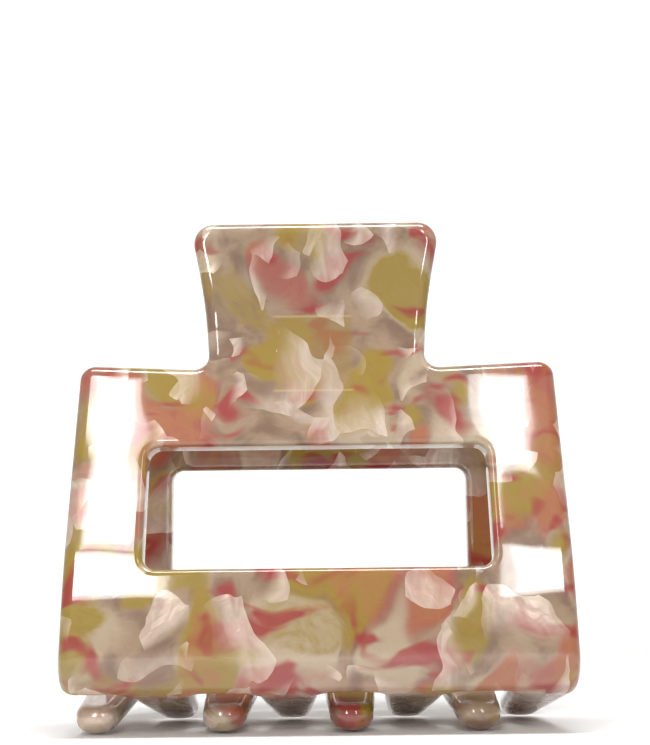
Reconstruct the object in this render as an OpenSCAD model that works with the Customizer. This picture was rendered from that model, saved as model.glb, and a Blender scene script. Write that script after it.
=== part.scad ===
// Claw clip: two identical acetate jaws, each one bent sheet with a window and four
// teeth, set half a turn apart and joined by a sprung metal hinge.
// Millimetres, +Z up. The clip stands on its tooth tips with the front jaw towards -Y.
// The origin is on that surface, midway between the jaws.

/* [Jaw sheet] */
// Thickness of the acetate sheet
sheet_t = 4; // [3.4:0.1:4.4]
// Width of a jaw at its teeth
jaw_w = 76; // [74:0.5:80]
// Width of a jaw at its shoulders
shoulder_w = 75.2; // [72:0.2:76]
// Height of the shoulders beside the tab
shoulder_z = 55.4; // [54:0.2:57]
// Rise of a shoulder towards its outer end
shoulder_rise = 0.9; // [0:0.1:1.5]
// Radius of a shoulder's outer corner
shoulder_r = 2.4; // [1.5:0.1:3]
// Radius between a shoulder and the tab
fillet_r = 2.2; // [1.5:0.1:3]
// Lean of the flat panel from upright, in degrees
panel_lean = 7; // [5:0.5:8]
// Height at which the flat panel ends
panel_end_z = 27; // [26:0.5:29]
// Outer radius of the curve below the flat panel
bulge_r = 115; // [100:5:130]
// Distance from the middle plane to the outer face of the neck
neck_y = 12.7; // [12.4:0.1:14]
// Outer radius of the hollow curve at the neck
neck_r = 24; // [22:0.5:28]
// Outer radius of the bottom bend
bend_r = 6; // [5.5:0.1:7]
// Slope of the teeth below level, in degrees
tooth_slope = 12.4; // [12:0.1:14]

/* [Tab] */
// Height of the top of a tab
tab_top_z = 79.1; // [76:0.1:82]
// Width of a tab at its top, before its corners are rounded
tab_top_w = 40.5; // [38:0.1:42]
// Width of a tab where it meets the shoulders
tab_root_w = 34.3; // [33:0.1:36]
// Outward lean of a tab, in degrees
tab_lean = 14; // [12:0.5:16]
// Distance by which the middle of a tab's side stands out from its root
tab_side_out = 0.8; // [0.4:0.1:1.2]
// Radius of the hollow in a tab's side
tab_side_r = 100; // [60:5:150]
// Radius of the top corners of a tab
tab_corner_r = 3.2; // [2:0.2:5]

/* [Window] */
// Width of the window
window_w = 52.3; // [48:0.1:54]
// Height of the lower edge of the window
window_low_z = 23.9; // [23:0.1:26]
// Height of the upper edge of the window
window_high_z = 42.65; // [41:0.05:44]
// Radius of the corners of the window
window_corner_r = 2; // [1.5:0.1:4]

/* [Teeth] */
// Width of a tooth at its root
tooth_root_w = 10; // [9:0.1:10.4]
// Width of a tooth at its end, before the tip is rounded
tooth_end_w = 6.1; // [5.6:0.1:6.6]
// Radius of the rounded tip of a tooth
tooth_tip_r = 3.2; // [2:0.1:3.2]
// Radius at the root between two teeth
root_r = 2; // [1:0.1:2.4]
// Distance that a tooth reaches past the middle plane
tooth_reach = 11.6; // [11:0.1:12]
// Distance from the middle plane to the root of the teeth
root_y = 13; // [12.8:0.1:13.4]
// Radius of the corner of the sheet beside the first tooth
low_corner_r = 4.5; // [3:0.5:5]

/* [Hinge] */
// Height of the hinge pin
pivot_z = 59.5; // [59:0.1:60]
// Diameter of the hinge pin
pin_d = 2; // [1.8:0.1:2.2]
// Diameter of the pin's upset heads
pin_head_d = 3.2; // [2.8:0.1:3.6]
// Thickness of the pin's upset heads
pin_head_t = 0.7; // [0.5:0.1:1]
// Radial clearance of the pin in the bracket eyes
pin_gap = 0.05; // [0.03:0.01:0.1]
// Outer radius of a bracket eye
eye_r = 2.4; // [2:0.1:2.8]
// Thickness of the bracket sheet
bracket_t = 0.8; // [0.6:0.1:1]
// Distance from the middle of the pin to a bracket's outer ear
outer_ear_x = 6.9; // [6.5:0.1:8]
// Side gap between neighbouring ears
ear_gap = 0.2; // [0.15:0.05:0.3]

/* [Rivets] */
// Diameter of a rivet's shank
rivet_d = 1.4; // [1.2:0.1:1.6]
// Diameter of a rivet's head
rivet_head_d = 2.6; // [2.2:0.1:3]
// Thickness of a rivet's head
rivet_head_t = 0.5; // [0.4:0.1:0.8]
// Radial clearance of a rivet in its hole
rivet_gap = 0.02; // [0.01:0.01:0.05]
// Depth of a rivet in the acetate
rivet_depth = 2.4; // [2:0.1:3]

/* [Spring] */
// Diameter of the spring wire
wire_d = 1; // [0.8:0.05:1.1]
// Mean radius of the spring's coil
coil_r = 3.3; // [3:0.1:3.6]
// Length of the spring's coil
coil_w = 9.4; // [8:0.2:9.6]
// Height at which the spring's legs press on the tabs
leg_z = 68; // [67:0.5:70]

/* [Hidden] */
$fn = 64;

// Steps of an arc in degrees, for radii over and under 10 mm
fine_step = 3;
coarse_step = 8;
pitch = jaw_w / 4;
tooth_places = [-1.25, -0.25, 0.75, 1.75];
corner_cut_x = -31;
tube_wall = wire_d + 0.1;

acetate = [0.72, 0.6, 0.5];
steel = [0.72, 0.73, 0.75];

// Points on an arc between two angles, closer together on a large radius.
function arc(centre, r, from, to) =
    let (count = max(1, ceil(abs(to - from) / (r > 10 ? fine_step : coarse_step))))
    [for (i = [0:count])
        let (a = from + (to - from) * i / count)
        centre + r * [cos(a), sin(a)]];

function unit(v) = v / norm(v);

// One corner of an outline, given as [x, y, radius], turned into its arc.
function corner(a, b, c) =
    let (
        here = [b[0], b[1]],
        u = unit([a[0], a[1]] - here),
        v = unit([c[0], c[1]] - here),
        half = acos(u * v) / 2,
        centre = here + unit(u + v) * b[2] / sin(half),
        start = here + u * b[2] / tan(half) - centre,
        turn = 180 - 2 * half,
        side = cross(-u, v) > 0 ? 1 : -1,
        from = atan2(start[1], start[0])
    )
    b[2] == 0 ? [here] : arc(centre, b[2], from, from + side * turn);

// A closed outline from a list of [x, y, radius] corners.
function rounded(path) =
    let (n = len(path))
    [for (i = [0:n - 1])
        each corner(path[(i + n - 1) % n], path[i], path[(i + 1) % n])];

function reversed(list) = [for (i = [len(list) - 1:-1:0]) list[i]];

// Side profile of the sheet as [distance from the middle plane, height], from the top
// of the tab to past the tooth tips. Depth is 0 on the outer face.
neck_centre = [neck_y + neck_r, pivot_z];
tab_up = [sin(tab_lean), cos(tab_lean)];
tab_in = [-cos(tab_lean), sin(tab_lean)];
tab_start = neck_centre + neck_r * [-cos(tab_lean), sin(tab_lean)];
tab_end_z = tab_top_z - sheet_t * sin(tab_lean);
tab_end = tab_start + tab_up * (tab_end_z - tab_start[1]) / cos(tab_lean);
panel_down = [sin(panel_lean), -cos(panel_lean)];
panel_out = [cos(panel_lean), sin(panel_lean)];
panel_start = neck_centre - neck_r * panel_out;
panel_end = panel_start + panel_down * (panel_start[1] - panel_end_z) / cos(panel_lean);
bulge_centre = panel_end - bulge_r * panel_out;
bulge_y = bulge_centre[0] + bulge_r;
tooth_out = [-cos(tooth_slope), -sin(tooth_slope)];
tooth_up = [-sin(tooth_slope), cos(tooth_slope)];
bend_end_y = bulge_y - bend_r + bend_r * sin(tooth_slope);
root_z = (bend_end_y + tooth_reach) * tan(tooth_slope);
bend_centre = [bulge_y - bend_r, root_z + bend_r * cos(tooth_slope)];

function face(depth) = concat(
    [tab_end + depth * tab_in],
    arc(neck_centre, neck_r + depth, 180 - tab_lean, 180 + panel_lean),
    arc(bulge_centre, bulge_r - depth, panel_lean, 0),
    arc(bend_centre, bend_r - depth, 0, tooth_slope - 90),
    [[-tooth_reach, 0] + 3 * tooth_out + depth * tooth_up]);

// A shape drawn as [distance from the middle plane, height], standing on the -Y side
// and reaching from x = from to x = to.
module side_slab(outline, from, to) {
    rotate([90, 0, 90])
        translate([0, 0, from])
            linear_extrude(height = to - from)
                polygon([for (p = outline) [-p[0], p[1]]]);
}

// The sheet seen from the front, with the tab, the shoulders and the rounded corner
// beside the first tooth.
tab_side_z = (tab_top_z + shoulder_z) / 2 - 1.2;
function half_front() = [
    [tab_top_w / 2, tab_top_z, tab_corner_r],
    [tab_root_w / 2 + tab_side_out, tab_side_z, tab_side_r],
    [tab_root_w / 2, shoulder_z, fillet_r],
    [shoulder_w / 2, shoulder_z + shoulder_rise, shoulder_r],
    [jaw_w / 2, panel_end_z, 0]];

function front_outline() = rounded(concat(
    half_front(),
    [[jaw_w / 2, -1, 0],
     [corner_cut_x, -1, 0],
     [corner_cut_x, root_z - 0.05, 0],
     [-jaw_w / 2, root_z - 0.05, low_corner_r]],
    [for (p = reversed(half_front())) [-p[0], p[1], p[2]]]));

window_outline = rounded([
    [-window_w / 2, window_low_z, window_corner_r],
    [window_w / 2, window_low_z, window_corner_r],
    [window_w / 2, window_high_z, window_corner_r],
    [-window_w / 2, window_high_z, window_corner_r]]);

// The sheet's bottom seen from above: the roots and the four teeth. The last tooth's
// outer side is flush with the side of the jaw.
function tooth_corners(x, right_root) = [
    [x - tooth_root_w / 2, -root_y, root_r],
    [x - tooth_end_w / 2, tooth_reach, tooth_tip_r * 0.98],
    [x + tooth_end_w / 2, tooth_reach, tooth_tip_r * 0.98],
    right_root];

teeth_outline = rounded(concat(
    [[jaw_w / 2, -bulge_y - 1, 0], [-jaw_w / 2, -bulge_y - 1, 0], [-jaw_w / 2, -root_y, 0]],
    [for (i = [0:3]) let (x = tooth_places[i] * pitch)
        each tooth_corners(x, i < 3 ? [x + tooth_root_w / 2, -root_y, root_r]
                                    : [jaw_w / 2, -root_y, 0])]));

// Places of the rivets, as angles about the neck's centre of curvature, and their X.
rivet_angles = [-8, 5.5];
rivet_x = (bracket_t + ear_gap) / -2;

// Puts its children on a rivet's axis, with +X out of the sheet through the outer face
// and the origin on the sheet's inner face.
module at_rivet(angle) {
    translate([rivet_x, -neck_centre[0], neck_centre[1]])
        rotate([-angle, 0, 0])
            translate([0, neck_r + sheet_t, 0])
                rotate([0, 0, -90])
                    children();
}

module along_x(from, to, d) {
    translate([from, 0, 0])
        rotate([0, 90, 0])
            cylinder(d = d, h = to - from);
}

module jaw() {
    color(acetate)
        difference() {
            intersection() {
                side_slab(concat(face(0), reversed(face(sheet_t))), -jaw_w, jaw_w);
                rotate([90, 0, 0])
                    translate([0, 0, -20])
                        linear_extrude(height = 50)
                            polygon(front_outline());
                union() {
                    translate([0, 0, -1])
                        linear_extrude(height = bend_centre[1])
                            polygon(teeth_outline);
                    translate([-jaw_w, -3 * bulge_y, bend_centre[1] - 1.5])
                        cube([2 * jaw_w, 3 * bulge_y, tab_top_z]);
                }
            }
            rotate([90, 0, 0])
                translate([0, 0, -5])
                    linear_extrude(height = 40)
                        polygon(window_outline);
            for (a = rivet_angles)
                at_rivet(a)
                    along_x(-1, rivet_depth + 0.1, rivet_d + 2 * rivet_gap);
        }
}

// Folded bracket: a plate that follows the neck's inner face, with an ear at each end.
plate_low = panel_start - sheet_t * panel_out + 3 * panel_down;
plate_from = -outer_ear_x;
plate_to = outer_ear_x - bracket_t - ear_gap;

module bracket() {
    back = arc(neck_centre, neck_r + sheet_t, 180 - tab_lean + fine_step, 180 + panel_lean);
    front = arc(neck_centre, neck_r + sheet_t + bracket_t, 180 - tab_lean + fine_step,
                180 + panel_lean);
    plate = concat(back, [plate_low, plate_low - bracket_t * panel_out], reversed(front));
    color(steel)
        difference() {
            union() {
                side_slab(plate, plate_from, plate_to);
                for (x = [plate_from, plate_to - bracket_t])
                    side_slab(ear_outline, x, x + bracket_t);
            }
            translate([0, 0, pivot_z])
                along_x(-20, 20, pin_d + 2 * pin_gap);
            for (a = rivet_angles)
                at_rivet(a)
                    along_x(-2, 1, rivet_d + 2 * rivet_gap);
        }
}

// An ear: a round eye about the pin, widening to the plate.
ear_root_y = neck_y - sheet_t - bracket_t / 2 + 0.15;
ear_half = 3.9;
ear_span = norm([ear_root_y, ear_half]);
ear_turn = atan2(ear_half, ear_root_y) + acos(eye_r / ear_span);
ear_outline = concat(
    [[ear_root_y, pivot_z + ear_half]],
    arc([0, pivot_z], eye_r, ear_turn, 360 - ear_turn),
    [[ear_root_y, pivot_z - ear_half]]);

module rivets() {
    color(steel)
        for (a = rivet_angles)
            at_rivet(a) {
                along_x(-bracket_t - 0.2, rivet_depth, rivet_d);
                along_x(-bracket_t - rivet_head_t - 0.01, -bracket_t - 0.01, rivet_head_d);
            }
}

module front_jaw() {
    jaw();
}

module rear_jaw() {
    rotate([0, 0, 180])
        jaw();
}

module front_hinge_bracket() {
    bracket();
}

module rear_hinge_bracket() {
    rotate([0, 0, 180])
        bracket();
}

module front_bracket_rivets() {
    rivets();
}

module rear_bracket_rivets() {
    rotate([0, 0, 180])
        rivets();
}

module hinge_pin() {
    head_from = outer_ear_x + 0.1;
    color(steel)
        translate([0, 0, pivot_z])
            union() {
                along_x(-head_from - 0.1, head_from + 0.1, pin_d);
                along_x(head_from, head_from + pin_head_t, pin_head_d);
                along_x(-head_from - pin_head_t, -head_from, pin_head_d);
            }
}

// Torsion spring, drawn as the tube its coil fills, with a straight leg to each tab.
leg_reach = neck_centre[0] - (neck_r + sheet_t) * cos(tab_lean)
    + (leg_z - neck_centre[1] - (neck_r + sheet_t) * sin(tab_lean)) * tan(tab_lean)
    - (wire_d / 2 + 0.05) / cos(tab_lean);
leg_rise = leg_z - pivot_z;
leg_angle = atan2(leg_rise, leg_reach) - acos(coil_r / norm([leg_reach, leg_rise]));
leg_len = sqrt(leg_reach * leg_reach + leg_rise * leg_rise - coil_r * coil_r);

module spring_leg() {
    translate([-coil_w / 2 + tube_wall / 2, 0, pivot_z])
        rotate([-leg_angle, 0, 0])
            translate([0, -coil_r, 0])
                cylinder(d = wire_d, h = leg_len);
}

module return_spring() {
    color(steel)
        union() {
            translate([0, 0, pivot_z])
                difference() {
                    along_x(-coil_w / 2, coil_w / 2, 2 * coil_r + tube_wall);
                    along_x(-coil_w, coil_w, 2 * coil_r - tube_wall);
                }
            spring_leg();
            rotate([0, 0, 180])
                spring_leg();
        }
}

front_jaw();
rear_jaw();
front_hinge_bracket();
rear_hinge_bracket();
front_bracket_rivets();
rear_bracket_rivets();
hinge_pin();
return_spring();
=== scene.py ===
import bmesh
import bpy
import numpy as np
from mathutils import Matrix, Vector, geometry


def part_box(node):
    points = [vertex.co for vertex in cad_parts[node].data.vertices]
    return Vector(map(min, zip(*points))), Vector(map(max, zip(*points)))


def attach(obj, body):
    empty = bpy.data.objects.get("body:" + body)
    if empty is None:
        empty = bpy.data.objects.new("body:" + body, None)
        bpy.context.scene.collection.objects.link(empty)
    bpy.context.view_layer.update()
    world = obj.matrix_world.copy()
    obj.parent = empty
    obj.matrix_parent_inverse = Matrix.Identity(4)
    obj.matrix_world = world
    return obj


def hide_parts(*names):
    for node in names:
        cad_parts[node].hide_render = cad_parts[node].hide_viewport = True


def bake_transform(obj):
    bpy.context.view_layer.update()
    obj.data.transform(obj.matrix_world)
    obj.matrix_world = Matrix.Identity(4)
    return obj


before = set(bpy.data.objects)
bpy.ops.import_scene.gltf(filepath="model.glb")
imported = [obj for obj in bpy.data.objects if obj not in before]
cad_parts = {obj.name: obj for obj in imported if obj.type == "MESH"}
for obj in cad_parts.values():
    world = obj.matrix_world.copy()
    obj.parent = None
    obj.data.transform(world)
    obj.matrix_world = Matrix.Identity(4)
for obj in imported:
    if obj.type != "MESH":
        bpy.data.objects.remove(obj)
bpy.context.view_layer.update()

# ---------------------------------------------------------------------------
# The sweep and the camera. The clip stands on a white paper floor that curves up into a
# wall all round, and the camera is close to it and low, looking slightly up at the front
# jaw. Everything is laid out in metres.
# ---------------------------------------------------------------------------
mm = 0.001
scene = bpy.context.scene
scene.view_settings.view_transform = "Standard"


def aimed(name, data, place, target, roll=0.0):
    """Adds a camera or a light at place, turned so that its -Z axis points at target."""
    thing = bpy.data.objects.new(name, data)
    scene.collection.objects.link(thing)
    look = (Vector(target) - Vector(place)).normalized().to_track_quat("-Z", "Y")
    thing.matrix_world = (Matrix.Translation(place) @ look.to_matrix().to_4x4()
                          @ Matrix.Rotation(roll, 4, "Z"))
    return thing


def add_piece(name, mesh, finish):
    """Adds a mesh as a piece with one material. The piece sits at the origin, unturned,
    and its place is in its mesh."""
    piece = bpy.data.objects.new(name, mesh)
    scene.collection.objects.link(piece)
    mesh.materials.clear()
    mesh.materials.append(finish)
    return piece


camera_place = Vector((1.8 * mm, -170 * mm, 17 * mm))
camera_pitch = 0.233
camera_yaw = -0.003
camera_roll = -0.011
lens = bpy.data.cameras.new("camera")
lens.sensor_fit = "VERTICAL"
lens.sensor_height = 36
lens.lens = 49.4
lens.clip_start = 0.01
gaze = Vector((np.sin(camera_yaw) * np.cos(camera_pitch),
               np.cos(camera_yaw) * np.cos(camera_pitch),
               np.sin(camera_pitch)))
scene.camera = aimed("camera", lens, camera_place, camera_place + gaze, camera_roll)

sweep_disc, sweep_floor, sweep_r, sweep_rise = 0.05, 0.9, 0.4, 1.4


def sweep_mesh(steps=72):
    """A round floor whose rim curves up into a wall: the section runs out level, turns a
    quarter circle and climbs, and is swept round the Z axis. A disc closes the middle."""
    turn = np.linspace(0, np.pi / 2, 24)
    out = np.concatenate([[sweep_disc], sweep_floor + sweep_r * np.sin(turn),
                          [sweep_floor + sweep_r]])
    z = np.concatenate([[0], sweep_r - sweep_r * np.cos(turn), [sweep_rise]])
    a = np.linspace(0, 2 * np.pi, steps, endpoint=False)
    rings = np.stack([out[:, None] * np.cos(a), out[:, None] * np.sin(a),
                      np.repeat(z[:, None], steps, 1)], -1)
    ring = np.arange(len(z) - 1)[:, None] * steps
    k, after = np.arange(steps), (np.arange(steps) + 1) % steps
    quads = np.stack([ring + k, ring + after, ring + steps + after, ring + steps + k], -1)
    mesh = bpy.data.meshes.new("sweep")
    mesh.from_pydata(rings.reshape(-1, 3).tolist(), [],
                     [k.tolist()] + quads[..., ::-1].reshape(-1, 4).tolist())
    mesh.shade_smooth()
    return mesh


class Value:
    """A shader socket that takes + - * with numbers and other sockets. In a product with
    a number, the socket stands first."""

    def __init__(self, finish, socket):
        self.finish = finish
        self.socket = socket

    def math(self, operation, first, second):
        return self.finish.add("ShaderNodeMath", {0: first, 1: second}, operation=operation)

    def __add__(self, other):
        return self.math("ADD", self, other)

    def __radd__(self, other):
        return self.math("ADD", other, self)

    def __sub__(self, other):
        return self.math("SUBTRACT", self, other)

    def __rsub__(self, other):
        return self.math("SUBTRACT", other, self)

    def __mul__(self, other):
        return self.math("MULTIPLY", self, other)


class Finish:
    """A material with a Principled shader, and one way to add any other node."""

    def __init__(self, name, **constants):
        self.material = bpy.data.materials.new(name)
        self.material.use_nodes = True
        self.tree = self.material.node_tree
        self.shader = self.tree.nodes["Principled BSDF"]
        for socket, value in constants.items():
            self.shader.inputs[socket.replace("_", " ")].default_value = value

    def plug(self, socket, value):
        """Links a Value to an input, or sets a plain number or colour on it."""
        if isinstance(value, Value):
            self.tree.links.new(value.socket, socket)
        else:
            socket.default_value = value

    def add(self, kind, inputs=(), out=0, **settings):
        """Adds a node: its settings first, then its inputs' values."""
        node = self.tree.nodes.new(kind)
        for key, value in settings.items():
            setattr(node, key, value)
        for key, value in dict(inputs).items():
            self.plug(node.inputs[key], value)
        return Value(self, node.outputs[out])

    def feed(self, **sockets):
        """Links or sets inputs of the Principled shader."""
        for socket, value in sockets.items():
            self.plug(self.shader.inputs[socket.replace("_", " ")], value)

    def place(self):
        """Each point's place, in the frame that every piece shares."""
        return self.add("ShaderNodeTexCoord", out="Object")

    def scaled(self, vector, scale, shift=(0, 0, 0), turn=(0, 0, 0)):
        """A pattern's coordinates, scaled, then turned in radians, then shifted."""
        return self.add("ShaderNodeMapping", {"Vector": vector, "Scale": scale,
                                              "Location": shift, "Rotation": turn})

    def noise(self, vector, scale, detail=3, out="Fac", **more):
        """Soft noise of about 0 to 1, or the same as a colour where out is Color."""
        return self.add("ShaderNodeTexNoise", {"Vector": vector, "Scale": scale,
                                               "Detail": detail, **more}, out=out)

    def ease(self, value, low, high):
        """0 below low and 1 above high, with a smooth step between them."""
        return self.add("ShaderNodeMapRange", {"Value": value, "From Min": low,
                                               "From Max": high},
                        interpolation_type="SMOOTHSTEP")

    def mix(self, factor, a, b):
        """Colour a where the factor is 0, and colour b where it is 1. Sockets 6, 7 and 2
        are the node's own for two colours in and one out."""
        return self.add("ShaderNodeMix", {0: factor, 6: a, 7: b}, out=2, data_type="RGBA")

    def warp(self, vector, shift, amount):
        """Moves a pattern's coordinates by a noise colour, centred on no movement."""
        pushed = self.add("ShaderNodeVectorMath", {0: shift, 1: (0.5, 0.5, 0.5)},
                          operation="SUBTRACT")
        pushed = self.add("ShaderNodeVectorMath", {0: pushed, "Scale": amount},
                          operation="SCALE")
        return self.add("ShaderNodeVectorMath", {0: vector, 1: pushed}, operation="ADD")

    def bump(self, height, distance, strength=1.0):
        """A normal that follows height, which is worth distance where it is 1."""
        return self.add("ShaderNodeBump", {"Height": height, "Distance": distance,
                                           "Strength": strength})


paper = Finish("white_paper", Roughness=0.9)
paper_shade, paper_white = (0.93, 0.93, 0.92, 1), (0.97, 0.97, 0.96, 1)
fibre = paper.noise(paper.place(), 400, 4)
paper.feed(Base_Color=paper.mix(fibre, paper_shade, paper_white))
add_piece("sweep", sweep_mesh(), paper.material)

# ---------------------------------------------------------------------------
# The lights. Narrow panel lamps stand each side of the lens, a strip lamp hangs above the
# clip, and broad soft lamps fill the sides, the top and the white sweep.
# ---------------------------------------------------------------------------


def soft_lamp(name, place, target, wide, high, power):
    """A rectangular lamp at place that shines towards target, with its power in watts."""
    data = bpy.data.lights.new(name, "AREA")
    data.shape = "RECTANGLE"
    data.size = wide
    data.size_y = high
    data.energy = power
    return aimed(name, data, place, target)


# Panel lamps, as (name, left, right, low, high): places across, and heights above the
# lens, in millimetres. Each has a bright middle and a dimmer border.
panel_glow = 8.0
panel_border = 2.5
panel_aim = Vector((0, 1, -0.2))
for name, left, right, low, high in (("left_panel", -76, -57, 58, 117),
                                     ("right_panel", 49, 68, 82, 117),
                                     ("right_sliver", 49, 56, 64, 82),
                                     ("left_foot", -78, -45, 24, 55),
                                     ("right_foot", 54, 76, 24, 55)):
    for part, border in (("border", 0), ("middle", panel_border)):
        wide = (right - left - 2 * border) * mm
        tall = (high - low - 2 * border) * mm
        place = Vector(((left + right) / 2 * mm, camera_place.y + border * mm,
                        camera_place.z + (low + high) / 2 * mm))
        soft_lamp(f"{name}_{part}", place, place + panel_aim, wide, tall,
                  panel_glow * np.pi * wide * tall)

# Soft lamps, as place, target, width, height and power, in metres and watts.
soft_lamp("strip_lamp", (0, -0.12, 0.36), (0, 0, 0.06), 0.30, 0.07, 1.3)
soft_lamp("left_lamp", (-0.55, -0.10, 0.35), (0, 0, 0.04), 0.4, 0.5, 0.14)
soft_lamp("right_lamp", (0.55, -0.05, 0.35), (0, 0, 0.04), 0.4, 0.5, 0.1)
soft_lamp("top_lamp", (0, 0.15, 0.75), (0, 0.1, 0), 0.6, 0.6, 0.12)
soft_lamp("back_lamp", (0, 0.55, 0.9), (0, 1.2, 0.35), 1.4, 0.5, 9.5)

world = bpy.data.worlds.new("studio")
world.use_nodes = True
world.node_tree.nodes["Background"].inputs["Color"].default_value = (1, 0.99, 0.98, 1)
world.node_tree.nodes["Background"].inputs["Strength"].default_value = 0.15
scene.world = world

# ---------------------------------------------------------------------------
# The two jaws. Each is one piece of 4 mm cellulose acetate, cut flat with its window and
# teeth, bent hot over a form, and tumbled until its edges are round and it shines.
# ---------------------------------------------------------------------------

# A jaw is worked out on the flat sheet, as x across, s down the outer face and n into the
# sheet, and then bent.
sheet_t = 4 * mm
pivot_z = 59.5 * mm
neck_y = 12.7 * mm
neck_r = 24 * mm
tab_lean = np.radians(14)
panel_lean = np.radians(7)
panel_end_z = 27 * mm
bulge_r = 115 * mm
bend_r = 6 * mm
tooth_slope = np.radians(12.4)
tooth_reach = 11.6 * mm
root_y = 13 * mm
jaw_low, jaw_high = (np.array(corner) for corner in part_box("front_jaw"))
jaw_half = jaw_high[0]
tab_top_z = jaw_high[2]
bulge_y = -jaw_low[1]

# The outer face from the tab's end to the tooth tips, as stretches of constant curvature.
# The sixth stretch is the bend, and the seventh is the teeth.
neck_in_y = neck_y + neck_r - neck_r * np.cos(tab_lean)
neck_top_z = pivot_z + neck_r * np.sin(tab_lean)
neck_low_z = pivot_z - neck_r * np.sin(panel_lean)
tab_rise = tab_top_z - sheet_t * np.sin(tab_lean) - neck_top_z
bend_end_y = bulge_y - bend_r + bend_r * np.sin(tooth_slope)
bend_z = (bend_end_y + tooth_reach) * np.tan(tooth_slope) + bend_r * np.cos(tooth_slope)
upright = np.pi / 2
stretches = np.array([
    # length, turn
    [tab_rise / np.cos(tab_lean), 0],
    [neck_r * (tab_lean + panel_lean), tab_lean + panel_lean],
    [(neck_low_z - panel_end_z) / np.cos(panel_lean), 0],
    [bulge_r * panel_lean, -panel_lean],
    [panel_end_z - bulge_r * np.sin(panel_lean) - bend_z, 0],
    [bend_r * (upright - tooth_slope), tooth_slope - upright],
    [(bend_end_y + tooth_reach) / np.cos(tooth_slope), 0]])
lengths, turns = stretches.T
stretch_s = np.concatenate([[0], np.cumsum(lengths)])
bend_s, teeth_s, end_s = stretch_s[5:]
stretch_angle = -upright - tab_lean + np.concatenate([[0], np.cumsum(turns)])


def chord(start_angle, turn, length):
    """The step made by a stretch of constant curvature: its chord points half way
    through the turn and is shorter than the stretch by sin(turn / 2) / (turn / 2)."""
    step = length * np.sinc(turn / (2 * np.pi))
    return step * np.cos(start_angle + turn / 2), step * np.sin(start_angle + turn / 2)


step_y, step_z = chord(stretch_angle[:-1], turns, lengths)
stretch_y = neck_in_y + tab_rise * np.tan(tab_lean) + np.concatenate([[0], np.cumsum(step_y)])
stretch_z = neck_top_z + tab_rise + np.concatenate([[0], np.cumsum(step_z)])


def bend(s, n):
    """Bends the sheet: (distance from the middle plane, height) of the point that is s
    down the outer face and n into the sheet, square to the face."""
    k = np.clip(np.searchsorted(stretch_s, s, side="right") - 1, 0, len(lengths) - 1)
    along = s - stretch_s[k]
    turn = turns[k] * along / lengths[k]
    dy, dz = chord(stretch_angle[k], turn, along)
    angle = stretch_angle[k] + turn
    return (stretch_y[k] + dy + n * np.sin(angle), stretch_z[k] + dz - n * np.cos(angle))


face_s = np.linspace(0, stretch_s[-1], 4000)
face_y, face_z = bend(face_s, 0)


def s_at(z):
    """Place down the outer face that has this height."""
    return float(np.interp(-z, -face_z, face_s))


def s_at_reach(y):
    """Place on the bend or a tooth that is this far from the middle plane."""
    low = face_s > bend_s
    return float(np.interp(-y, -face_y[low], face_s[low]))


def corner(before, here, after):
    """The arc that rounds one corner (x, s, radius) of an outline: it touches both sides
    at radius / tan(half angle) from the corner."""
    here, radius = np.array(here[:2]), here[2]
    u, v = (np.array(p[:2]) - here for p in (before, after))
    u, v = u / np.linalg.norm(u), v / np.linalg.norm(v)
    half = np.arccos(np.clip(u @ v, -1, 1)) / 2
    if radius == 0:
        return here[None]
    centre = here + (u + v) / np.linalg.norm(u + v) * radius / np.sin(half)
    start = here + u * radius / np.tan(half) - centre
    side = np.sign(u[1] * v[0] - u[0] * v[1])
    a = np.linspace(0, side * (np.pi - 2 * half), 24)[:, None]
    return centre + np.cos(a) * start + np.sin(a) * np.array([-start[1], start[0]])


def rounded(path, spacing):
    """A closed outline from (x, s, radius) corners, resampled evenly."""
    arcs = [corner(path[i - 1], path[i], path[(i + 1) % len(path)])
            for i in range(len(path))]
    line = np.concatenate(arcs + [arcs[0][:1]])
    run = np.concatenate([[0], np.cumsum(np.linalg.norm(np.diff(line, axis=0), axis=1))])
    even = np.linspace(0, run[-1], int(run[-1] / spacing), endpoint=False)
    return np.stack([np.interp(even, run, line[:, 0]), np.interp(even, run, line[:, 1])], 1)


tab_top_half, tab_corner_r = 20.25 * mm, 3.2 * mm
tab_waist_half, tab_waist_z, tab_side_r = 17.95 * mm, 66.05 * mm, 100 * mm
tab_root_half, shoulder_z, fillet_r = 17.15 * mm, 55.4 * mm, 2.2 * mm
shoulder_half, shoulder_end_z, shoulder_r = 37.6 * mm, 56.3 * mm, 2.4 * mm
side_r, low_corner_r = 90 * mm, 2.4 * mm
tooth_pitch = 2 * jaw_half / 4

# The middle of each tooth, in pitches from the jaw's middle.
tooth_places = (1.75, 0.75, -0.25, -1.25)
tooth_root_half, tooth_end_half, tooth_tip_r, root_r = 5 * mm, 3.05 * mm, 3.12 * mm, 2 * mm


def jaw_outline():
    """The cut outline of the sheet as (x, s, radius) corners: tab, shoulders, sides and
    four teeth. The first tooth is flush with the +X side."""
    root_s = s_at_reach(root_y)
    half = [(tab_top_half, 0.0, tab_corner_r),
            (tab_waist_half, s_at(tab_waist_z), tab_side_r),
            (tab_root_half, s_at(shoulder_z), fillet_r),
            (shoulder_half, s_at(shoulder_end_z), shoulder_r),
            (jaw_half, s_at(panel_end_z), side_r)]
    path = half + [(jaw_half, root_s, 0)]
    for place in tooth_places:
        x = place * tooth_pitch
        path += [(x + tooth_end_half, end_s, tooth_tip_r),
                 (x - tooth_end_half, end_s, tooth_tip_r),
                 (x - tooth_root_half, root_s, root_r)]
        if place != tooth_places[-1]:
            path += [(x - tooth_pitch + tooth_root_half, root_s, root_r)]
    path += [(-jaw_half, root_s, low_corner_r)]
    return path + [(-x, s, r) for x, s, r in reversed(half)]


window_half, window_top_z, window_low_z, window_r = 26.15 * mm, 42.65 * mm, 23.9 * mm, 2 * mm


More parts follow.
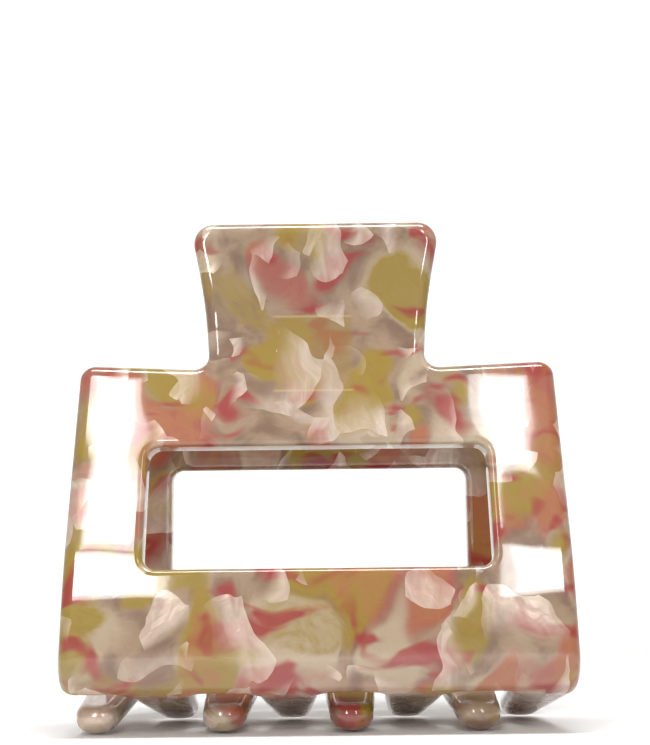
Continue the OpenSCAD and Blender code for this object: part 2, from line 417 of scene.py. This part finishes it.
def window_outline():
    """The window's four (x, s, radius) corners."""
    half, high, low, r = window_half, s_at(window_top_z), s_at(window_low_z), window_r
    return [(half, high, r), (half, low, r), (-half, low, r), (-half, high, r)]


def inset(loop, depth, side):
    """The loop moved by depth along its own normal. Side is -1 for the outer edge and
    +1 for the window, so that both move into the material."""
    along = np.roll(loop, -1, 0) - np.roll(loop, 1, 0)
    along /= np.linalg.norm(along, axis=1)[:, None]
    return loop + side * depth * np.stack([along[:, 1], -along[:, 0]], 1)


def inside(points, loop):
    """Even-odd test: a point is inside if a ray to +x crosses the loop an odd number of
    times."""
    a, b = loop, np.roll(loop, -1, 0)
    px, ps = points[:, :1], points[:, 1:]
    spans = (a[:, 1] > ps) != (b[:, 1] > ps)
    rise = np.where(b[:, 1] == a[:, 1], 1, b[:, 1] - a[:, 1])
    cross = a[:, 0] + (ps - a[:, 1]) / rise * (b[:, 0] - a[:, 0])
    return (spans & (px < cross)).sum(1) % 2 == 1


def rim_section(r, steps=6):
    """Section of a polished edge as (inset, depth): a quarter circle of radius r on each
    face, and the straight edge between them."""
    a = np.linspace(0, np.pi / 2, steps + 1)
    first = np.stack([r - r * np.sin(a), r - r * np.cos(a)], 1)
    last = np.stack([first[::-1, 0], sheet_t - first[::-1, 1]], 1)
    return np.concatenate([first, last])


def polish_wave(sheet):
    """Shallow waves left in the outer face by tumbling: the sum of four slanted sine
    waves, each 10 to 16 mm long, between 0 and 0.06 mm deep. A wave's turn rates are in
    radians a millimetre along x and along s."""
    swell = 0.0075 * mm
    turn_rate = np.array([[0.62, 0.15], [0.21, 0.58], [0.40, -0.44], [-0.12, 0.37]]) / mm
    phase = sheet[:, :2] @ turn_rate.T + [0.0, 1.3, 2.9, 4.1]
    return swell * (1 + np.sin(phase)).sum(1)


outer_rim_r, window_rim_r = 1.8 * mm, 0.95 * mm
edge_step, collar_gap, net_gap = 0.36 * mm, 0.25 * mm, 0.75 * mm
row_step, bend_row_count, first_tooth_row = 1.0 * mm, 19, 0.8 * mm
column_places = np.arange(-37.5, 38, 1.1) * mm


def sheet_mesh(name, turned):
    """One jaw: its two faces are filled with an even net, each edge is a rounded section
    carried round an outline, and every point is then bent into place. A face's net
    starts clear of a collar, which is the first ring past the rounded section. The rows
    are closest in the bend. A turned jaw is the rear one."""
    edges = [(rounded(jaw_outline(), edge_step), outer_rim_r, -1),
             (rounded(window_outline(), edge_step), window_rim_r, 1)]
    collars = [inset(loop, r + collar_gap, side) for loop, r, side in edges]
    limits = [inset(loop, r + net_gap, side) for loop, r, side in edges]
    rows = np.concatenate([np.arange(0, bend_s, row_step),
                           np.linspace(bend_s, teeth_s, bend_row_count),
                           np.arange(teeth_s + first_tooth_row, end_s, row_step)])
    net = np.stack(np.meshgrid(column_places, rows), -1).reshape(-1, 2)
    net = net[inside(net, limits[0]) & ~inside(net, limits[1])]
    flat = np.concatenate(collars + [net])
    count = [len(c) for c in collars]
    start = np.concatenate([[0], np.cumsum(count)])
    loops = [start[k] + np.arange(count[k]) for k in range(2)]
    fixed = np.concatenate([np.stack([loop, np.roll(loop, -1)], 1) for loop in loops])

    # The net is joined up in millimetres. The triangles that fill the window have all
    # their corners on its collar, and are left out.
    _, _, faces, source, _, _ = geometry.delaunay_2d_cdt(
        (flat * (1 / mm)).tolist(), fixed.tolist(), [], 1, 1e-7)
    faces = np.concatenate(source)[np.array(faces)]
    in_window = (faces >= start[1]) & (faces < start[2])
    faces = faces[~in_window.all(1)]

    points = [np.column_stack([flat, np.zeros(len(flat))]),
              np.column_stack([flat, np.full(len(flat), sheet_t)])]
    total = 2 * len(flat)
    quads = []

    # Each edge's rings run from the outer face's collar to the inner face's.
    for k, (loop, r, side) in enumerate(edges):
        ring = np.arange(count[k])
        after = (ring + 1) % count[k]
        rings = [start[k] + ring]
        for depth, n in rim_section(r):
            points.append(np.column_stack([inset(loop, depth, side),
                                           np.full(count[k], n)]))
            rings.append(total + ring)
            total += count[k]
        rings.append(len(flat) + start[k] + ring)
        for one, two in zip(rings, rings[1:]):
            quads.append(np.stack([one, one[after], two[after], two], 1))
    sheet = np.concatenate(points)
    y, z = bend(sheet[:, 1], sheet[:, 2] + polish_wave(sheet) * (1 - sheet[:, 2] / sheet_t))
    way = -1 if turned else 1
    shape = np.stack([way * sheet[:, 0], -way * y, z], 1)
    mesh = bpy.data.meshes.new(name)
    mesh.from_pydata(shape.tolist(), [], faces.tolist() + (faces + len(flat)).tolist()
                     + np.concatenate(quads).tolist())
    laid = mesh.attributes.new("sheet", "FLOAT_VECTOR", "POINT")
    laid.data.foreach_set("vector", (sheet / mm).astype(np.float32).ravel())
    shell = bmesh.new()
    shell.from_mesh(mesh)
    bmesh.ops.recalc_face_normals(shell, faces=shell.faces)
    shell.to_mesh(mesh)
    shell.free()
    mesh.shade_smooth()
    return mesh


bark, sand = (0.17, 0.096, 0.057, 1), (0.29, 0.192, 0.118, 1)
milk_white, rose = (0.38, 0.288, 0.190, 1), (0.30, 0.060, 0.038, 1)
olive_yellow, apricot = (0.25, 0.160, 0.008, 1), (0.32, 0.120, 0.034, 1)
vein_red, pearl_white = (0.26, 0.014, 0.013, 1), (0.70, 0.57, 0.48, 1)
# Painted shadow colour and painted highlight colour for the hinge plate seen through the
# sheet.
plate_shadow, plate_edge_highlight = (0.25, 0.152, 0.027, 1), (0.49, 0.368, 0.144, 1)
plate_top_z, plate_foot_z = 63.5 * mm, 51.3 * mm
plate_x, plate_half, plate_blur = -0.5, 6.2, 0.5


def acetate(name, shift):
    """Mottled pearl acetate: soft blocks of colour, thin red veins, and folded pearl
    flakes under a clear polished surface. The hinge plate behind is painted in as faint
    shade with painted highlight lines at its edges. The pattern lies on the flat sheet, in
    millimetres, moved by shift."""
    f = Finish(name, Coat_Weight=1.0, Coat_Roughness=0.045, Coat_IOR=1.7,
               Specular_IOR_Level=0.3)
    laid = f.add("ShaderNodeAttribute", out="Vector", attribute_name="sheet")
    sheet = f.scaled(laid, (1, 1, 1), shift=shift)
    drift = f.noise(sheet, 0.085, 1, out="Color")
    soft = f.warp(sheet, drift, 12.0)

    def parts(colour):
        """A colour's red, green and blue."""
        return [f.add("ShaderNodeSeparateColor", {0: colour}, out=k) for k in range(3)]

    # Blocks: a random red, green and blue for each cell, blurred into its neighbours,
    # say how yellow, how pink and how milky it is.
    blocks = f.add("ShaderNodeTexVoronoi",
                   {"Vector": f.scaled(soft, (1, 0.8, 1)), "Scale": 0.125,
                    "Smoothness": 0.8}, out="Color", feature="SMOOTH_F1")
    yellow, pink, milk = parts(blocks)
    cloud = f.noise(soft, 0.2, 3)
    ragged = f.noise(soft, 0.7, 2) * 0.2
    base = f.mix(f.ease(cloud, 0.34, 0.66), bark, sand)
    base = f.mix(f.ease(milk + ragged, 0.50, 0.82), base, milk_white)
    base = f.mix(f.ease(pink + ragged, 0.50, 0.80) * 0.9, base, rose)
    base = f.mix(f.ease(yellow + ragged, 0.56, 0.80) * 0.95, base, olive_yellow)
    base = f.mix(f.ease(cloud * pink, 0.28, 0.42) * 0.6, base, apricot)

    # Red veins: slanted blots, stretched along the sheet.
    blot = f.noise(f.scaled(soft, (0.6, 1.2, 1), shift=(31, 7, 0), turn=(0, 0, 0.6)),
                   0.17, 2)
    base = f.mix(f.ease(blot, 0.53, 0.67) * 0.9, base, vein_red)

    # The hinge plate behind the neck, painted in where it shows through: a faint warm block
    # of painted shadow, with a painted highlight line at its top and bottom edges.
    x, s, n = (f.add("ShaderNodeSeparateXYZ", {0: laid}, out=k) for k in range(3))
    plate_top, plate_foot = s_at(plate_top_z) / mm, s_at(plate_foot_z) / mm
    off_centre = f.add("ShaderNodeMath", {0: x - plate_x}, operation="ABSOLUTE")
    beside = f.ease(off_centre, plate_half - plate_blur, plate_half + plate_blur)
    behind = (1 - beside) * (1 - f.ease(n, 0.5, 2))
    past_top = f.ease(s, plate_top - 0.3, plate_top + 0.3)
    past_foot = f.ease(s, plate_foot - 0.3, plate_foot + 0.3)
    # Painted shadow over the plate, then painted highlight lines along its top and bottom
    # edges.
    base = f.mix(behind * past_top * (1 - past_foot) * 0.55, base, plate_shadow)
    plate_highlight_mask = past_top * (1 - past_top) + past_foot * (1 - past_foot)
    base = f.mix(behind * plate_highlight_mask * 2, base, plate_edge_highlight)

    def flakes(scale, turn, share, reach):
        """Pearl flakes, one to a cell of the pattern. A flake is bright at one side of
        its cell and fades across it over reach, at the cell's own angle, and has silky
        fibres. The given share of the cells has one."""
        place = f.warp(f.scaled(sheet, (1.0, 0.7, 1.0), turn=(0, 0, turn)), drift, 8.0)
        place = f.warp(place, f.noise(sheet, 0.22, 1, out="Color"), 1.6)
        cell = {"Vector": place, "Scale": scale}
        which, lean, _ = parts(f.add("ShaderNodeTexVoronoi", cell, out="Color"))
        heart = f.add("ShaderNodeTexVoronoi", cell, out="Position")
        offset = f.add("ShaderNodeVectorMath", {0: place, 1: heart}, operation="SUBTRACT")
        angle = lean * (2 * np.pi)
        across = f.add("ShaderNodeCombineXYZ",
                       {"X": f.add("ShaderNodeMath", {0: angle}, operation="COSINE"),
                        "Y": f.add("ShaderNodeMath", {0: angle}, operation="SINE")})
        slide = f.add("ShaderNodeVectorMath", {0: offset, 1: across}, out="Value",
                      operation="DOT_PRODUCT")
        fibres = f.noise(f.scaled(place, (1.3, 0.45, 1)), 0.45, 2, Distortion=0.4)
        silk = f.ease(fibres, 0.30, 0.75)
        fade = f.ease(slide, -0.15 * reach, reach)
        return f.ease(which, 1 - share, 1.04 - share) * fade * (0.45 + silk * 0.55)

    large = flakes(0.105, 0.45, 0.46, 4.6)
    small = flakes(0.24, -0.7, 0.30, 1.9)
    pearl = f.add("ShaderNodeMath", {0: large, 1: small * 0.9}, operation="MAXIMUM")
    base = f.mix(pearl * 0.8, base, pearl_white)

    folds = f.noise(sheet, 0.3, 3, Distortion=1.0)
    f.feed(Base_Color=base, Roughness=0.42 - pearl * 0.14, Metallic=pearl * 0.45,
           Normal=f.bump(folds * 0.6 + pearl * 0.08, 0.7 * mm, 0.4))
    return f.material


for body, turned, shift in (("front", False, (0, 0, 0)), ("rear", True, (140, 60, 30))):
    jaw = add_piece(f"{body}_jaw_sheet", sheet_mesh(f"{body}_jaw_sheet", turned),
                    acetate(f"{body}_pearl_acetate", shift))
    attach(jaw, body)
    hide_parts(f"{body}_jaw")

# ---------------------------------------------------------------------------
# The two hinge brackets. Each is a folded stainless plate against the inside of a neck,
# with an ear at each end that carries the pin. The sheared edges are slightly broken.
# ---------------------------------------------------------------------------


def stainless(name, tint, roughness, grain):
    """Rolled or drawn steel: a fine grain varies the roughness and the surface. It is
    given as its scale along X, Y and Z, and a small scale along X makes it streaky."""
    f = Finish(name, Metallic=1.0)
    streak = f.noise(f.scaled(f.place(), grain), 1, 3)
    stain = f.noise(f.place(), 180, 3)
    f.feed(Base_Color=f.mix(f.ease(stain, 0.3, 0.75), (*tint, 1),
                            (*(0.82 * c for c in tint), 1)),
           Roughness=roughness + streak * 0.16, Normal=f.bump(streak, 0.03 * mm, 0.4))
    return f.material


bracket_steel = stainless("bracket_steel", (0.63, 0.63, 0.64), 0.22, (500, 6000, 6000))
edge_break, plate_crease = 0.12 * mm, np.radians(35)

# In radians: faces that meet under the first are one flat face, and an edge that is
# folded by more than the second is a sheared edge or a corner.
flat_angle, fold_angle = 0.02, 0.7
for body in ("front", "rear"):
    node = f"{body}_hinge_bracket"
    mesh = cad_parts[node].data.copy()
    plate = bmesh.new()
    plate.from_mesh(mesh)
    bmesh.ops.remove_doubles(plate, verts=plate.verts, dist=1e-6)
    bmesh.ops.dissolve_limit(plate, angle_limit=flat_angle, verts=plate.verts,
                             edges=plate.edges)
    sharp = [edge for edge in plate.edges
             if len(edge.link_faces) == 2 and edge.calc_face_angle() > fold_angle]
    bmesh.ops.bevel(plate, geom=sharp, offset=edge_break, segments=2, profile=0.5,
                    affect="EDGES", clamp_overlap=True)
    plate.to_mesh(mesh)
    plate.free()
    mesh.shade_smooth()
    mesh.set_sharp_from_angle(angle=plate_crease)
    piece = add_piece(f"{body}_bracket_plate", mesh, bracket_steel)
    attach(piece, body)
    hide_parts(node)

# ---------------------------------------------------------------------------
# The hinge pin, a drawn steel rod through the eyes of both brackets. It is upset into a
# domed head at each end, which keeps it there.
# ---------------------------------------------------------------------------


turned_crease = np.radians(40)


def closed_tube(rings, poles, name):
    """A closed mesh: rings of points, each joined to the next by a band of quads, with a
    fan of triangles from each end ring to its pole."""
    count, steps = rings.shape[:2]
    points = np.concatenate([rings.reshape(-1, 3), poles])
    k, after = np.arange(steps), (np.arange(steps) + 1) % steps
    ring = np.arange(count - 1)[:, None] * steps
    quads = np.stack([ring + k, ring + after, ring + steps + after, ring + steps + k], -1)
    first, last, low = len(points) - 2, len(points) - 1, (count - 1) * steps
    faces = quads.reshape(-1, 4).tolist()
    faces += np.stack([np.full(steps, first), after, k], 1).tolist()
    faces += np.stack([np.full(steps, last), low + k, low + after], 1).tolist()
    mesh = bpy.data.meshes.new(name)
    mesh.from_pydata(points.tolist(), [], faces)
    mesh.shade_smooth()
    return mesh


def turned_mesh(section, ends, name, steps=48):
    """A closed turned solid. The section is (place along the axis, radius) from pole to
    pole, and it is swept round the axis that runs between the two ends."""
    start, end = (np.array(p, float) for p in ends)
    axis = (end - start) / np.linalg.norm(end - start)
    side = np.cross(axis, (0, 0, 1) if abs(axis[2]) < 0.9 else (1, 0, 0))
    side /= np.linalg.norm(side)
    other = np.cross(axis, side)
    turn = np.linspace(0, 2 * np.pi, steps, endpoint=False)
    spokes = np.cos(turn)[:, None] * side + np.sin(turn)[:, None] * other
    section = np.array(section)
    rings = (start + section[1:-1, 0, None, None] * axis
             + section[1:-1, 1, None, None] * spokes)
    mesh = closed_tube(rings, start + section[[0, -1], 0, None] * axis, name)
    mesh.set_sharp_from_angle(angle=turned_crease)
    return mesh


def dome(flat_at, rise, radius, rim, way):
    """Section of a domed head: a short rim, then an ellipse up to the pole. way is +1 if
    the pole is at the far end."""
    a = np.linspace(0, np.pi / 2, 9)
    side = np.stack([flat_at + way * (rim + (rise - rim) * np.sin(a)),
                     radius * np.cos(a)], 1)
    return np.concatenate([[[flat_at, radius]], side])[::way]


pin_low, pin_high = (np.array(corner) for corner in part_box("hinge_pin"))
pin_r, pin_head_r, pin_head_t = 1 * mm, (pin_high[2] - pin_low[2]) / 2, 0.7 * mm
pin_len, pin_rim = pin_high[0] - pin_low[0], 0.15 * mm
pin_section = np.concatenate([
    dome(pin_head_t, pin_head_t, pin_head_r, pin_rim, -1),
    [[pin_head_t, pin_r], [pin_len - pin_head_t, pin_r]],
    dome(pin_len - pin_head_t, pin_head_t, pin_head_r, pin_rim, 1)])
drawn_steel = stainless("drawn_steel", (0.66, 0.66, 0.67), 0.16, (300, 5000, 5000))
pin = add_piece("hinge_pin_rod",
                turned_mesh(pin_section, [(pin_low[0], 0, pivot_z), (pin_high[0], 0, pivot_z)],
                            "hinge_pin_rod"), drawn_steel)
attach(pin, "front")
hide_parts("hinge_pin")

# ---------------------------------------------------------------------------
# The rivets, two to a bracket. Each is a small steel stud with a domed head, pushed hot
# into a blind hole in the acetate.
# ---------------------------------------------------------------------------
rivet_x, rivet_r, rivet_head_r = -0.5 * mm, 0.7 * mm, 1.3 * mm
rivet_depth, plate_t, rivet_head_t = 2.4 * mm, 0.8 * mm, 0.5 * mm
rivet_rim, rivet_tilts = 0.1 * mm, np.radians([-8, 5.5])
shank_end = [[0, 0], [rivet_rim, rivet_r], [rivet_depth + plate_t, rivet_r]]
rivet_section = np.concatenate([
    shank_end, dome(rivet_depth + plate_t, rivet_head_t, rivet_head_r, rivet_rim, 1)])
for body, way in (("front", 1), ("rear", -1)):
    meshes = []
    for tilt in rivet_tilts:
        out = np.array([0, -np.cos(tilt), -np.sin(tilt)])
        centre = np.array([rivet_x, -neck_y - neck_r, pivot_z])
        foot = centre - out * (neck_r + sheet_t - rivet_depth)
        head = foot - out * (rivet_depth + plate_t + rivet_head_t)
        turn = np.array([way, way, 1])
        meshes.append(turned_mesh(rivet_section, [foot * turn, head * turn], "rivet", 32))
    both = bmesh.new()
    for mesh in meshes:
        both.from_mesh(mesh)
    both.to_mesh(meshes[0])
    both.free()
    bpy.data.meshes.remove(meshes[1])
    rivets = add_piece(f"{body}_rivet_pair", meshes[0], drawn_steel)
    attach(rivets, body)
    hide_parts(f"{body}_bracket_rivets")

# ---------------------------------------------------------------------------
# The return spring, wound from 1 mm music wire round the pin. One leg springs up to each
# tab, so that squeezing the tabs winds it tighter.
# ---------------------------------------------------------------------------
wire_r, coil_r, leg_x = 0.5 * mm, 3.3 * mm, 4.15 * mm
leg_end_y, leg_end_z = 9.39 * mm, 68 * mm - pivot_z
coils, steps_a_coil, leg_steps = 7, 40, 24
leg_span = np.hypot(leg_end_y, leg_end_z)
leg_start = np.arctan2(leg_end_z, leg_end_y) - np.arccos(coil_r / leg_span)
leg_len = np.sqrt(leg_span ** 2 - coil_r ** 2)
coil_turn = coils * 2 * np.pi + np.pi + 2 * leg_start


def spring_path():
    """The wire's centre line and its outward side: down the rear leg, round the pin in a
    close helix that runs towards -X, and up the front leg."""
    wound = np.linspace(0, 1, coils * steps_a_coil)
    a = leg_start - wound * coil_turn
    x = leg_x - 2 * leg_x * wound
    out = np.stack([0 * a, np.cos(a), np.sin(a)], 1)
    helix = np.stack([x, 0 * a, pivot_z + 0 * a], 1) + coil_r * out
    along = np.linspace(leg_len, 0, leg_steps, endpoint=False)[:, None]
    up = [np.array([0, -np.sin(t), np.cos(t)]) * way for t, way in ((a[0], 1), (a[-1], -1))]
    rear = helix[0] + along * up[0]
    front = (helix[-1] + along * up[1])[::-1]
    sides = np.concatenate([np.repeat(out[:1], leg_steps, 0), out,
                            np.repeat(out[-1:], leg_steps, 0)])
    return np.concatenate([rear, helix, front]), sides


def wire_mesh(path, sides, radius, name, steps=14):
    """A round wire: circles square to the path, closing to a point in a half-round at
    each end."""
    run = np.concatenate([[0], np.cumsum(np.linalg.norm(np.diff(path, axis=0), axis=1))])
    end = np.minimum(run, run[-1] - run)
    keep = (end == 0) | (end > radius)
    path, sides, run = path[keep], sides[keep], run[keep]
    cap = radius * (1 - np.cos(np.linspace(0, np.pi / 2, 7)))[1:]
    extra = np.concatenate([cap, run[-1] - cap])
    new_run = np.sort(np.concatenate([run, extra]))
    path = np.stack([np.interp(new_run, run, path[:, k]) for k in range(3)], 1)
    sides = np.stack([np.interp(new_run, run, sides[:, k]) for k in range(3)], 1)
    tangent = np.gradient(path, axis=0)
    tangent /= np.linalg.norm(tangent, axis=1)[:, None]
    other = np.cross(tangent, sides)
    other /= np.linalg.norm(other, axis=1)[:, None]
    sides = np.cross(other, tangent)
    end = np.minimum(new_run, new_run[-1] - new_run)
    thick = np.sqrt(np.maximum(radius ** 2 - np.maximum(radius - end, 0) ** 2, 0))
    turn = np.linspace(0, 2 * np.pi, steps, endpoint=False)
    rings = (path[1:-1, None] + thick[1:-1, None, None]
             * (np.cos(turn)[:, None] * sides[1:-1, None]
                + np.sin(turn)[:, None] * other[1:-1, None]))
    return closed_tube(rings, path[[0, -1]], name)


wire_steel = stainless("wire_steel", (0.58, 0.58, 0.6), 0.2, (2500, 2500, 2500))
spring = add_piece("return_spring_wire",
                   wire_mesh(*spring_path(), wire_r, "return_spring_wire"), wire_steel)
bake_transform(spring)
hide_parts("return_spring")
